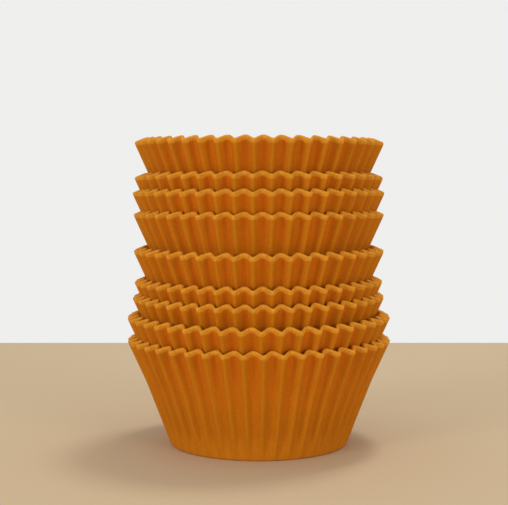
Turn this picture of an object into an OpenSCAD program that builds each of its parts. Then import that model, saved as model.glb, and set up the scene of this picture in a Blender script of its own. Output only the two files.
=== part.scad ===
// Stack of nine fluted cupcake liners, nested one in the next.
// Millimetres, +Z up, the origin at the middle of the bottom liner's underside.
// The view that shows the stack best looks along +Y.

/* [Liner] */
// Diameter of the flat base of the bottom liner
base_d = 50.8; // [44:0.2:56]
// Diameter of the mouth of the bottom liner, over the ridges
mouth_d = 74.6; // [70:0.2:80]
// Length of the wall up its slope, from base edge to rim
wall_len = 31.5; // [29:0.1:36]
// Thickness of the wall and of the base
wall_t = 1.2; // [0.8:0.1:1.3]

/* [Flutes] */
// Number of flutes around a liner
flutes = 44; // [36:1:52]
// Depth of a flute at the rim, from ridge to valley
flute_depth = 2.4; // [1.5:0.1:2.6]
// Length of the upper wall that opens out to the rim
lip_len = 12; // [8:0.5:14]
// How much more than the mean slope that upper wall leans out, as a share of it
lip_slope = 0.12; // [0:0.01:0.3]
// Slope of the wall where it leaves the base, as a share of the mean slope
foot_slope = 0.48; // [0.4:0.01:0.54]
// Depth of the bottom liner's flutes where the next liner's base sits in it
foot_flute = 1.3; // [0.6:0.1:1.4]

/* [Stack] */
// Clearance between the edge of a base and the wall it sits in
seat_gap = 0.1; // [0.1:0.05:0.3]

/* [Hidden] */
// Four lists with one entry for each liner, from the table up.
// How much higher each liner sits than where its lip would touch the one below
lift = [0, 0.1, 0, 0.4, 3.6, 5.3, 1.6, 0.5, 3.4];
// How much each mouth is narrower than the first one
squeeze = [0, 0.2, 3.4, 4.4, 3.8, 3.8, 3.4, 4.4, 4.4];
// How far each liner is turned about the stack's axis, as a share of one flute
turn = [0.2, 0.1, 0.74, 0.69, 0.66, 0.66, 0.67, 0.66, 0.7];
// How each liner leans about X and about Y, in degrees
lean = [
  [0, 0], [0.7, -0.1], [0.6, -0.3], [0.2, -0.2], [0.2, 0],
  [-0.6, 0], [-0.4, -0.1], [-1.1, 0], [0.1, 0.2]
];
last = len(lift) - 1;
pitch = 360 / flutes;
half_depth = flute_depth / 2;

// Sections through one flute: each point has its place in the flute, with the
// ridge at 0 and the valley at 180, and its level from -1 in the valley to 1 on the ridge
outer_rim = [[-26, 1], [26, 1], [152, -1], [208, -1]];
inner_rim = [[0, 1], [152, -1], [208, -1]];
zigzag = [[0, 1], [180, -1]];
plain = [[0, 0]];

function mouth_r(i) = (mouth_d - squeeze[i]) / 2;

// Slopes away from upright: the mean one from base edge to rim, the lip's and the foot's
mean_slope = asin(((mouth_d - base_d) / 2 - half_depth) / wall_len);
lip_angle = (1 + lip_slope) * mean_slope;
foot_angle = foot_slope * mean_slope;
// Wall thickness measured level, at the lip and at the foot
lip_t = wall_t / cos(lip_angle);
foot_t = wall_t / cos(foot_angle);
// Heights of the rim and of the start of the lip over the base
rim_z = wall_len * cos(mean_slope);
lip_z = rim_z - lip_len * cos(lip_angle);
lip_depth = half_depth * (1 - lip_len / wall_len);

// Middle line of the outer face at the rim, and at the start of the lip
function rim_r(i) = mouth_r(i) - half_depth * cos(lip_angle);
function lip_r(i) = rim_r(i) - lip_len * sin(lip_angle);

// Room that flutes need where they are out of step with those below
function step_room(i) = flute_depth / cos(lip_angle) * abs(sin(180 * (turn[i] - turn[i - 1])));
// Room that a wall needs at a height, radius and slope because it leans in the one below
function lean_room(i, h, r, slope) = (h + r * tan(slope)) * sin(norm(lean[i] - lean[i - 1]));
// Room that a lip needs in the one below, less what it gains by being narrower
function lip_room(i) = step_room(i) + lean_room(i, rim_z, mouth_r(i), lip_angle) + seat_gap
  - (squeeze[i] - squeeze[i - 1]) / 2;
// How far each base sits above the base below it
function rise(i) = i == 0 ? 0 : (lip_t + lip_room(i)) / tan(lip_angle) + lift[i];
function base_z(i) = i == 0 ? 0 : base_z(i - 1) + rise(i);

// The foot of a wall is a plain cone that reaches up to where the next base sits, but
// not into the lip. The top liner has the foot that the one below has.
function foot_h(i) = min(rise(min(i + 1, last)), lip_z - wall_t);
function foot_r(i) = base_r(i) + foot_h(i) * tan(foot_angle);
// The bottom liner shows its whole wall, so its flutes start at the base
function foot_ridge(i) = i == 0 ? foot_flute / 2 : 0;
// Valley line of the outer face, from the foot up
function valley_r(i, z) =
  lookup(z, [[foot_h(i), foot_r(i)], [lip_z, lip_r(i) - lip_depth], [rim_z, rim_r(i) - half_depth]]);
// How far the flats of a foot lie inside its corners, which a turned base has to clear
flat_in = base_d / 2 * (1 - cos(pitch / 2));
// Each base is as wide as the bottom one, or as the liner below lets it be where it sits
function seat_r(i) = valley_r(i - 1, rise(i)) - foot_t - flat_in - seat_gap
  - lean_room(i, foot_h(i), base_d / 2, foot_angle);
function base_r(i) = i == 0 ? base_d / 2 : min(base_d / 2, seat_r(i));

// A ring is [section, radius, height, half depth of its flutes].
// Its flutes stand square to the lip's slope.
function ring_points(ring) = [
  for (k = [0 : flutes - 1], s = ring[0])
    let (out = s[1] * ring[3], a = (k + s[0] / 360) * pitch)
    [
      (ring[1] + out * cos(lip_angle)) * cos(a),
      (ring[1] + out * cos(lip_angle)) * sin(a),
      ring[2] - out * sin(lip_angle)
    ]
];

// Triangles between two sections over one flute. Each corner is [0 for the first ring or 1 for
// the next, number of the point], and each new edge joins the two points that lie nearest.
function place(s, k) = k < len(s) ? s[k][0] : s[0][0] + 360;
function upper_next(low, high, i, j) =
  i == len(low) || (j < len(high)
    && abs(place(high, j + 1) - place(low, i)) <= abs(place(low, i + 1) - place(high, j)));
function stitch(low, high, i = 0, j = 0) =
  i == len(low) && j == len(high) ? []
  : upper_next(low, high, i, j)
    ? concat([[[0, i], [1, j], [1, j + 1]]], stitch(low, high, i, j + 1))
    : concat([[[0, i], [1, j], [0, i + 1]]], stitch(low, high, i + 1, j));

function ring_size(ring) = flutes * len(ring[0]);
function ring_start(rings, n) = n == 0 ? 0 : ring_start(rings, n - 1) + ring_size(rings[n - 1]);
function band_faces(rings, n) =
  let (
    start = [ring_start(rings, n), ring_start(rings, n + 1)],
    size = [ring_size(rings[n]), ring_size(rings[n + 1])],
    step = [len(rings[n][0]), len(rings[n + 1][0])]
  )
  [
    for (k = [0 : flutes - 1], t = stitch(rings[n][0], rings[n + 1][0]))
      [for (p = t) start[p[0]] + (k * step[p[0]] + p[1]) % size[p[0]]]
  ];

// One closed skin through the rings in turn, with a flat disc on the first and the last
module skin(rings) {
  count = len(rings);
  points = [for (ring = rings) each ring_points(ring)];
  first_disc = [for (k = [0 : ring_size(rings[0]) - 1]) k];
  end = len(points) - 1;
  last_disc = [for (k = [0 : ring_size(rings[count - 1]) - 1]) end - k];
  faces = concat([first_disc], [for (n = [0 : count - 2]) each band_faces(rings, n)], [last_disc]);
  polyhedron(points, faces);
}

// One liner: up the outer face, over the rim and down the inner face
module liner(i) {
  foot = i == 0 ? zigzag : plain;
  color("darkorange")
    translate([0, 0, base_z(i)])
      rotate([lean[i][0], lean[i][1], 0])
        rotate(turn[i] * pitch - 90)
          skin([
            [plain, base_r(i), 0, 0],
            [foot, foot_r(i) + foot_ridge(i), foot_h(i), foot_ridge(i)],
            [zigzag, lip_r(i), lip_z, lip_depth],
            [outer_rim, rim_r(i), rim_z, half_depth],
            [inner_rim, rim_r(i) - wall_t * cos(lip_angle), rim_z + wall_t * sin(lip_angle), half_depth],
            [zigzag, lip_r(i) - lip_t, lip_z, lip_depth],
            [plain, foot_r(i) - foot_t, foot_h(i), 0],
            [plain, base_r(i) - foot_t, wall_t, 0]
          ]);
}

for (i = [0 : last])
  liner(i);
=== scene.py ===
from math import cos, pi, radians, sin, tan

import bmesh
import bpy
import numpy as np
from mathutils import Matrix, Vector


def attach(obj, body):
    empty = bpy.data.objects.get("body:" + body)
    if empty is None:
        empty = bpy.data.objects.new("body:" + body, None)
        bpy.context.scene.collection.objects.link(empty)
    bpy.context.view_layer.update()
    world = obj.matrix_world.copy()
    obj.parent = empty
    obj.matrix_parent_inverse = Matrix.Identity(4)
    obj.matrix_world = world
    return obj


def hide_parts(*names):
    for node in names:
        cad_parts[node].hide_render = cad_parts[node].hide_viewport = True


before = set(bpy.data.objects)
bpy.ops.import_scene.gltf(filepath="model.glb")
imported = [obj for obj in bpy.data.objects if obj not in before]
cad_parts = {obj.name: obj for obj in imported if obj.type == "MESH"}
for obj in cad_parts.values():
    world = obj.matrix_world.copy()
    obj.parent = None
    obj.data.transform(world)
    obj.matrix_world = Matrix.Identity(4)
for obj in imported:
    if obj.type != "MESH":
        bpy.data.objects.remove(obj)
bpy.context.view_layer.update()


# The camera stands close in front of the stack, level with its upper rims, and looks a
# little down, so that the lower rims are seen from above.
bpy.ops.object.select_all(action="DESELECT")
bpy.ops.object.camera_add(location=(-0.00166, -0.3382, 0.0750), rotation=(radians(86.53), 0, 0))
camera = bpy.context.object
camera.data.sensor_width = 36
camera.data.lens = 83.9
camera.data.shift_x = 1 / 508
camera.data.clip_start = 0.01
bpy.context.scene.camera = camera


# The blank: one plain cup of stiff matt paper, as it is before its flutes are pressed.
# Its wall is drawn up from the base ring by ring, turned over at the rim, and taken down
# again inside. The rim and the edges of the base are then rounded. Lengths are in mm.
FLUTES = 44
POINTS_PER_FLUTE = 16
WALL_T = 1.2
FLUTE_HALF = 1.2
BASE_R = 25.4
FOOT_Z = 6.6
MOUTH_R = 37.3
WALL_LEN = 31.5
LIP_LEN = 12
RIM_Z = 29.627
LIP_Z = 18.520
# The lip's slope is carried on to here, past the rounded rim
TOP_Z = LIP_Z + 16
LIP_SLOPE = radians(22.2404)
FOOT_SLOPE = radians(9.5316)
LIP_T = WALL_T / cos(LIP_SLOPE)
FOOT_T = WALL_T / cos(FOOT_SLOPE)
# How much further up its slope the full, rounded rim stands than a plain cut one
RIM_UP = 0.85
RIM_ROUNDING = 0.55
BASE_ROUNDING = 0.6
CORNER_ROUNDING = 0.8
# Rings up the wall, with one more outside just under the rim, and rings across the base as
# shares of its radius
RING_HEIGHTS = [
    1.6, 3, 4.6, FOOT_Z, 8.2, 9.9, 12, 14, 16, 17.5, LIP_Z, 19.8, 21.5, 23.5, 25.5, 27.5]
LAST_RING_DOWN = 0.6
BASE_RINGS = (0.85, 0.55, 0.25, 0.02)


def rim_r(mouth):
    """Middle line of the outer face at the rim, from the mouth's radius over the ridges."""
    return mouth - FLUTE_HALF * cos(LIP_SLOPE)


def outer_r(z, base, foot_z, mouth, foot_ridge=0.0):
    """Middle line of a cup's outer face: a foot cone, the wall, and the lip."""
    lip = rim_r(mouth) - (RIM_Z - LIP_Z) * tan(LIP_SLOPE)
    foot = base + foot_z * tan(FOOT_SLOPE) + foot_ridge
    top = lip + (TOP_Z - LIP_Z) * tan(LIP_SLOPE)
    return np.interp(z, [0, foot_z, LIP_Z, TOP_Z], [base, foot, lip, top])


def inner_r(z, base, foot_z, mouth):
    """Middle line of a cup's inner face."""
    lip = rim_r(mouth) - (RIM_Z - LIP_Z) * tan(LIP_SLOPE) - LIP_T
    foot = base + foot_z * tan(FOOT_SLOPE) - FOOT_T
    top = lip + (TOP_Z - LIP_Z) * tan(LIP_SLOPE)
    return np.interp(z, [0, foot_z, LIP_Z, TOP_Z], [base - FOOT_T, foot, lip, top])


def draw_ring(radius, height):
    """Extrudes the selected ring to a new radius and height."""
    global ring_r, ring_z
    rise = {"value": (0, 0, (height - ring_z) / 1000)}
    bpy.ops.mesh.extrude_edges_move(TRANSFORM_OT_translate=rise)
    spread = radius / ring_r
    bpy.ops.transform.resize(value=(spread, spread, 1), center_override=(0, 0, 0))
    ring_r, ring_z = radius, height


def pick_ring(cup, radius, height, near=0.02):
    """Selects the one ring of edges that lies at this radius and height."""
    bpy.ops.mesh.select_all(action="DESELECT")
    for edge in bmesh.from_edit_mesh(cup).edges:
        if all(abs(v.co.xy.length * 1000 - radius) < near and abs(v.co.z * 1000 - height) < near
               for v in edge.verts):
            edge.select_set(True)


BLANK = (BASE_R, FOOT_Z, MOUTH_R)
bpy.ops.object.select_all(action="DESELECT")
bpy.ops.mesh.primitive_circle_add(
    vertices=FLUTES * POINTS_PER_FLUTE, radius=BASE_R / 1000, location=(0, 0, 0))
blank = bpy.context.object
bpy.ops.object.mode_set(mode="EDIT")
bpy.ops.mesh.select_all(action="SELECT")
ring_r, ring_z = BASE_R, 0
outer_rim_z = RIM_Z + RIM_UP * cos(LIP_SLOPE)
for z in RING_HEIGHTS + [RIM_Z - LAST_RING_DOWN, outer_rim_z]:
    draw_ring(outer_r(z, *BLANK), z)
inner_rim_z = outer_rim_z + WALL_T * sin(LIP_SLOPE)
for z in [inner_rim_z] + RING_HEIGHTS[::-1] + [WALL_T]:
    draw_ring(inner_r(z, *BLANK), z)
inside_r = ring_r
for share in BASE_RINGS:
    draw_ring(inside_r * share, WALL_T)
bpy.ops.mesh.merge(type="CENTER")
pick_ring(blank.data, BASE_R, 0)
ring_r, ring_z = BASE_R, 0
for share in (0.95, *BASE_RINGS):
    draw_ring(BASE_R * share, 0)
bpy.ops.mesh.merge(type="CENTER")
for radius, height, rounding, steps in (
    (outer_r(outer_rim_z, *BLANK), outer_rim_z, RIM_ROUNDING, 4),
    (inner_r(inner_rim_z, *BLANK), inner_rim_z, RIM_ROUNDING, 4),
    (BASE_R, 0, BASE_ROUNDING, 4),
    (inside_r, WALL_T, CORNER_ROUNDING, 3),
):
    pick_ring(blank.data, radius, height)
    bpy.ops.mesh.bevel(
        offset=rounding / 1000, offset_type="OFFSET", segments=steps, profile=0.5)
bpy.ops.mesh.select_all(action="SELECT")
bpy.ops.mesh.normals_make_consistent(inside=False)
bpy.ops.mesh.faces_shade_smooth()
bpy.ops.object.mode_set(mode="OBJECT")


# The nine liners: the blank is copied for each, fitted to the liner's own base and mouth, and
# pressed into 44 flutes that are deepest at the rim. Each then stands in the one below, turned
# and leaning a little. Only the bottom and the top one have flutes down to their foot.
# The ridges are narrow up to this height, and broaden from there to the rim
RIM_ZONE_Z = 27.4
RIDGE_NARROWNESS, RIM_RIDGE_NARROWNESS, GROOVE_NARROWNESS = 1.8, 1.3, 1.2
LIP_FLUTE_HALF = FLUTE_HALF * (1 - LIP_LEN / WALL_LEN)


def pressed(liner, base, foot_z, mouth, base_z, turn, lean_x, lean_y,
            foot_ridge=0.0, foot_outer=0.0, foot_inner=0.0):
    """Fits a copy of the blank to its base and mouth, flutes it, and stands it in the stack."""
    cup = liner.data
    co = np.zeros(len(cup.vertices) * 3)
    cup.vertices.foreach_get("co", co)
    x, y, z = co.reshape(-1, 3).T * 1000
    r = np.hypot(x, y)
    a = np.arctan2(y, x)
    # Share of the way through the wall, from the outer face to the inner one
    through = np.clip((outer_r(z, *BLANK) - r) / LIP_T, 0, 1)
    up_wall = (r - rim_r(MOUTH_R)) * sin(LIP_SLOPE) + (z - RIM_Z) * cos(LIP_SLOPE)
    fit_outer = outer_r(z, base, foot_z, mouth, foot_ridge) - outer_r(z, *BLANK)
    fit_inner = inner_r(z, base, foot_z, mouth) - inner_r(z, *BLANK)
    fit = (1 - through) * fit_outer + through * fit_inner
    # The flat of the base takes its share of the fit, from none in the middle
    in_base = np.clip(r / (BASE_R - FOOT_T), 0, 1)
    r = r + fit * np.where(z < WALL_T + 0.05, in_base, 1)
    # Flutes: narrow ridges and broader valleys outside, more even at the rim. The wall is half
    # as thick as they are deep, so inside it the ridges close up to grooves.
    narrowness = np.interp(z, [RIM_ZONE_Z, RIM_Z], [RIDGE_NARROWNESS, RIM_RIDGE_NARROWNESS])
    wave_outer = -1 + 2 * ((1 + np.cos(a * FLUTES)) / 2) ** narrowness
    wave_inner = 1 - 2 * np.abs(np.sin(a * FLUTES / 2)) ** GROOVE_NARROWNESS
    upper = [LIP_FLUTE_HALF, FLUTE_HALF]
    depth_outer = np.interp(z, [0, foot_z, LIP_Z, RIM_Z], [0, foot_outer] + upper)
    depth_inner = np.interp(z, [WALL_T, foot_z, LIP_Z, RIM_Z], [0, foot_inner] + upper)
    out = (1 - through) * depth_outer * wave_outer + through * depth_inner * wave_inner
    r = r + out * cos(LIP_SLOPE)
    z = z - out * sin(LIP_SLOPE)
    a = a + 2 * pi / FLUTES * turn - pi / 2
    x, y = r * np.cos(a), r * np.sin(a)
    # The lean: about X, then about Y, and up to its place in the stack
    y, z = y * cos(lean_x) - z * sin(lean_x), y * sin(lean_x) + z * cos(lean_x)
    x, z = x * cos(lean_y) + z * sin(lean_y), z * cos(lean_y) - x * sin(lean_y)
    cup.vertices.foreach_set("co", (np.stack([x, y, z + base_z], 1) / 1000).ravel())
    # For the paper: how far up the wall a point is, as mm from the rim, and its place in its
    # flute, from -1 in the valley to 1 on the ridge, less where the flute is shallow
    depth = (1 - through) * depth_outer + through * depth_inner
    flute = ((1 - through) * wave_outer + through * wave_inner) * depth / FLUTE_HALF
    for kind, values in (("up_wall", up_wall), ("flute", flute)):
        layer = cup.attributes.new(kind, "FLOAT", "POINT")
        layer.data.foreach_set("value", values.astype(np.float32))
    cup.update()


# Base radius, height of the foot, mouth radius and height of the base in mm, turn as a share
# of one flute, and lean about X and about Y in degrees, from the table up
STACK = [
    (25.400, 6.583, 37.30, 0.000, 0.20, 0.0, 0.0),
    (25.001, 5.661, 37.20, 6.583, 0.10, 0.7, -0.1),
    (24.537, 4.358, 35.60, 12.245, 0.74, 0.6, -0.3),
    (23.794, 8.722, 35.10, 16.603, 0.69, 0.2, -0.2),
    (23.826, 10.221, 35.40, 25.325, 0.66, 0.2, 0.0),
    (24.016, 6.125, 35.40, 35.545, 0.66, -0.6, 0.0),
    (23.629, 4.219, 35.60, 41.670, 0.67, -0.4, -0.1),
    (22.782, 9.893, 35.10, 45.889, 0.66, -1.1, 0.0),
    (22.761, 9.893, 35.10, 55.782, 0.70, 0.1, 0.2),
]
# Half depth of the flutes at the foot: the bottom liner's show outside, the top one's inside
BOTTOM_FLUTES = {"foot_ridge": 0.65, "foot_outer": 0.65}
TOP_FLUTES = {"foot_outer": 0.39, "foot_inner": 0.39}
liners = []
for number, (base, foot_z, mouth, base_z, turn, lean_x, lean_y) in enumerate(STACK, 1):
    bpy.ops.object.select_all(action="DESELECT")
    blank.select_set(True)
    bpy.context.view_layer.objects.active = blank
    bpy.ops.object.duplicate()
    liner = bpy.context.object
    liner.name = f"pleated_liner_{number}"
    foot_flutes = {1: BOTTOM_FLUTES, len(STACK): TOP_FLUTES}.get(number, {})
    pressed(liner, base, foot_z, mouth, base_z, turn, radians(lean_x), radians(lean_y),
            **foot_flutes)
    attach(liner, "root")
    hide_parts(f"liner_{number}")
    liners.append(liner)
bpy.data.objects.remove(blank)


# The paper: matt orange stock, with a painted highlight as a lighter band over the rim, and the
# valleys painted redder and brighter as bounced light against their shade. It has cloudy fibres,
# a fine grain, and faint lines that the press drew up the wall.
# The valley colour is painted bounced light: redder and brighter than the ridges, laid over the
# shade that falls in the valleys
VALLEY_ORANGE_PAINTED_BOUNCE = (0.600, 0.146, 0.0010)
RIDGE_ORANGE = (0.515, 0.178, 0.0018)
CLOUD_ORANGE = (0.520, 0.154, 0.0010)
LOW_WALL_ORANGE = (0.485, 0.161, 0.0012)
# The rim colours are a painted highlight: a lighter band as if the rounded rim were lit from above
RIM_ORANGE_PAINTED_LIGHT = (0.60, 0.236, 0.013)
PALE_RIM_ORANGE_PAINTED_LIGHT = (0.70, 0.288, 0.021)
WORN_ORANGE = (0.56, 0.19, 0.014)
paper = bpy.data.materials.new("orange_liner_paper")
paper.use_nodes = True
nodes, links = paper.node_tree.nodes, paper.node_tree.links
shader = nodes["Principled BSDF"]
shader.inputs["Specular IOR Level"].default_value = 0.15


def attribute(kind):
    """A value that the liners carry at each of their points."""
    node = nodes.new("ShaderNodeAttribute")
    node.attribute_name = kind
    return node.outputs["Fac"]


def moved(operation, spot, by=None):
    """A spot multiplied or normalised, or the sum of two spots."""
    node = nodes.new("ShaderNodeVectorMath")
    node.operation = operation
    links.new(spot, node.inputs[0])
    if isinstance(by, tuple):
        node.inputs[1].default_value = by
    elif by is not None:
        links.new(by, node.inputs[1])
    return node.outputs["Vector"]


def noise(spot, scale, detail, rough=0.5):
    """Noise at a spot, mostly between 0.3 and 0.7."""
    node = nodes.new("ShaderNodeTexNoise")
    node.inputs["Scale"].default_value = scale
    node.inputs["Detail"].default_value = detail
    node.inputs["Roughness"].default_value = rough
    links.new(spot, node.inputs["Vector"])
    return node.outputs["Fac"]


def between(fac, low, high, start=0.0, end=1.0):
    """A value that goes from start to end while fac goes from low to high."""
    node = nodes.new("ShaderNodeMapRange")
    for name, value in (("From Min", low), ("From Max", high), ("To Min", start), ("To Max", end)):
        node.inputs[name].default_value = value
    links.new(fac, node.inputs["Value"])
    return node.outputs["Result"]


def mixed(fac, first, second, blend="MIX"):
    """Two colours mixed by fac, or wholly where fac is None."""
    node = nodes.new("ShaderNodeMix")
    node.data_type = "RGBA"
    node.blend_type = blend
    if fac is None:
        node.inputs["Factor"].default_value = 1
    else:
        links.new(fac, node.inputs["Factor"])
    for socket, colour in ((node.inputs[6], first), (node.inputs[7], second)):
        if isinstance(colour, tuple):
            socket.default_value = (*colour, 1)
        else:
            links.new(colour, socket)
    return node.outputs[2]


def combined(operation, first, second=0):
    """Two values added, taken away or multiplied, or the size of the first."""
    node = nodes.new("ShaderNodeMath")
    node.operation = operation
    for socket, value in ((node.inputs[0], first), (node.inputs[1], second)):
        if isinstance(value, (int, float)):
            socket.default_value = value
        else:
            links.new(value, socket)
    return node.outputs[0]


spot = nodes.new("ShaderNodeTexCoord").outputs["Object"]
# The press lines are noise taken around the wall, and drawn out along its height
around = moved("NORMALIZE", moved("MULTIPLY", spot, (1, 1, 0)))
drawn_out = moved("ADD", moved("MULTIPLY", around, (0.033, 0.033, 0)),
                  moved("MULTIPLY", spot, (0, 0, 0.06)))
lines = noise(drawn_out, 2600, 2)
clouds = noise(spot, 260, 4, 0.6)
fibres = noise(spot, 1500, 6, 0.7)
grain = noise(spot, 5200, 3, 0.6)
up_wall = attribute("up_wall")
flute = attribute("flute")
# Painted bounced light: the valleys are painted redder and brighter than the ridges, against the
# shade in them
wall = mixed(between(flute, -0.85, 0.85), VALLEY_ORANGE_PAINTED_BOUNCE, RIDGE_ORANGE)
wall = mixed(between(clouds, 0.35, 0.65, 0, 0.55), wall, CLOUD_ORANGE)
# Further down, where the flutes are shallow, the painted valley light fades out and the colour is
# more even and a little browner
wall = mixed(between(up_wall, -22, -8, 0.55, 0), wall, LOW_WALL_ORANGE)
# Painted highlight for the rim band, mottled by the fibres
rim = mixed(between(fibres, 0.35, 0.65), RIM_ORANGE_PAINTED_LIGHT, PALE_RIM_ORANGE_PAINTED_LIGHT)
# The rim's band is a painted highlight, as if the rounded rim were lit from above; it runs a
# little down the outer wall and reaches furthest down on the flanks of a flute
into_painted_rim_light = combined("SUBTRACT", up_wall, between(flute, -1, 1, -0.24, -0.14))
into_painted_rim_light = combined("ADD", into_painted_rim_light, between(combined("ABSOLUTE", flute), 0, 1, 0.38, 0))
# Painted light joins the paper's colour here: the rim highlight over the wall and its painted
# valley light
stock_and_painted_light = mixed(between(into_painted_rim_light, -0.2, 0.2), wall, rim)
# The base edge is rubbed a little paler, unevenly
above_edge = combined("ADD", up_wall, between(fibres, 0.3, 0.7, -0.5, 0.5))
stock_and_painted_light = mixed(between(above_edge, -31.3, -30.7, 0.6, 0), stock_and_painted_light, WORN_ORANGE)
shade = combined(
    "MULTIPLY", between(lines, 0.3, 0.7, 0.94, 1.05), between(fibres, 0.3, 0.7, 0.92, 1.08))
shade = combined("MULTIPLY", shade, between(grain, 0.3, 0.7, 0.95, 1.05))
grey = nodes.new("ShaderNodeCombineColor")
for socket in grey.inputs:
    links.new(shade, socket)
links.new(mixed(None, stock_and_painted_light, grey.outputs[0], "MULTIPLY"), shader.inputs["Base Color"])
gloss = between(combined("ADD", fibres, lines), 0.7, 1.3, 0.6, 0.8)
links.new(gloss, shader.inputs["Roughness"])
fine_relief = combined(
    "ADD", combined("MULTIPLY", grain, 0.3), combined("MULTIPLY", lines, 0.5))
bump = nodes.new("ShaderNodeBump")
bump.inputs["Strength"].default_value = 0.8
bump.inputs["Distance"].default_value = 0.00012
links.new(combined("ADD", combined("MULTIPLY", fibres, 0.6), fine_relief), bump.inputs["Height"])
links.new(bump.outputs["Normal"], shader.inputs["Normal"])
for liner in liners:
    liner.data.materials.clear()
    liner.data.materials.append(paper)


# The floor: a plain pale table top of matt board. Its far edge lies a hand's length behind
# the stack, and from the front it is the line where the table ends and the room begins.
TABLE_WIDTH, TABLE_DEPTH, TABLE_T = 1.8, 0.907, 0.03
FAR_EDGE_Y = 0.207
bpy.ops.object.select_all(action="DESELECT")
bpy.ops.mesh.primitive_cube_add(size=1)
floor = bpy.context.object
floor.name = "floor"
bpy.ops.object.mode_set(mode="EDIT")
bpy.ops.transform.resize(value=(TABLE_WIDTH, TABLE_DEPTH, TABLE_T))
bpy.ops.transform.translate(value=(0, FAR_EDGE_Y - TABLE_DEPTH / 2, -TABLE_T / 2))
bpy.ops.object.mode_set(mode="OBJECT")
table = bpy.data.materials.new("pale_table")
table.use_nodes = True
board = table.node_tree.nodes["Principled BSDF"]
board.inputs["Base Color"].default_value = (0.58, 0.44, 0.27, 1)
board.inputs["Roughness"].default_value = 0.85
floor.data.materials.append(table)


# The light: a pale even room, a broad soft lamp in front on each side, and a smaller one high
# above, a little behind. The camera sees the room a little brighter than it shines.
world = bpy.data.worlds.new("studio")
world.use_nodes = True
bpy.context.scene.world = world
sky = world.node_tree.nodes["Background"]
sky.inputs["Color"].default_value = (0.88, 0.88, 0.87, 1)
seen = world.node_tree.nodes.new("ShaderNodeLightPath")
bright = world.node_tree.nodes.new("ShaderNodeMapRange")
bright.inputs["To Min"].default_value = 0.74
bright.inputs["To Max"].default_value = 0.98
world.node_tree.links.new(seen.outputs["Is Camera Ray"], bright.inputs["Value"])
world.node_tree.links.new(bright.outputs["Result"], sky.inputs["Strength"])
middle = Vector((0, 0, 0.05))
for place, size, power in (
    ((1.10, -1.35, 0.40), 0.6, 7.6),
    ((-1.28, -1.18, 0.40), 0.6, 11.2),
    ((0.15, 0.19, 0.95), 0.16, 2.6),
):
    bpy.ops.object.light_add(type="AREA", location=place)
    lamp = bpy.context.object
    lamp.data.size = size
    lamp.data.energy = power
    lamp.data.color = (1, 0.97, 0.93)
    lamp.rotation_euler = (middle - lamp.location).to_track_quat("-Z", "Y").to_euler()

bpy.context.scene.view_settings.view_transform = "Standard"
